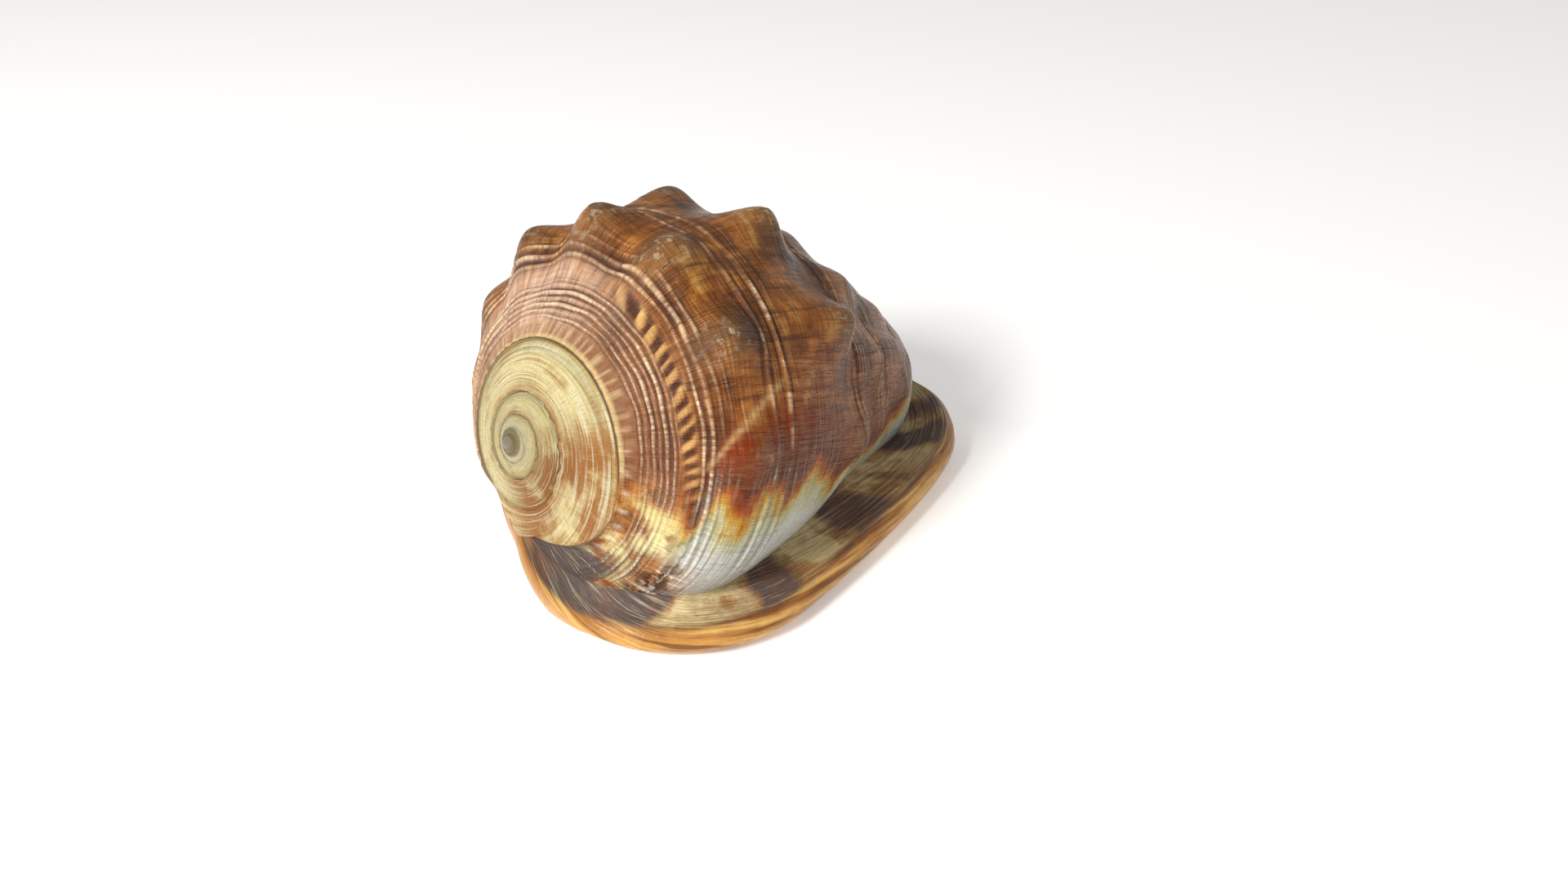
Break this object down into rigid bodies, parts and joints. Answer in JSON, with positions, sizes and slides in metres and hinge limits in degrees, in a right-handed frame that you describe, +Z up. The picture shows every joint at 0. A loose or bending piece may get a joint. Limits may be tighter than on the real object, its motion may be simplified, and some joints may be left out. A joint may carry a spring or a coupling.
{
  "type": "helmet shell",
  "caption": "Large knobbed helmet shell in glossy brown and cream, lying on its aperture, with a low coiled spire, a rolled outer lip, a long narrow slit and a flat shield below.",
  "frame": {"origin": "middle of the box's base, on the surface that the shell lies on", "axes": "+X from the spire's end to the front canal, along the shell's length; +Z up, out of the shell's back; the outer lip is on the -Y side and the shield on the +Y side"},
  "size_m": [0.1516, 0.1156, 0.0991],
  "materials": {
    "shell": null
  },
  "bodies": {
    "root": {"shell": "shell"}
  },
  "joints": []
}
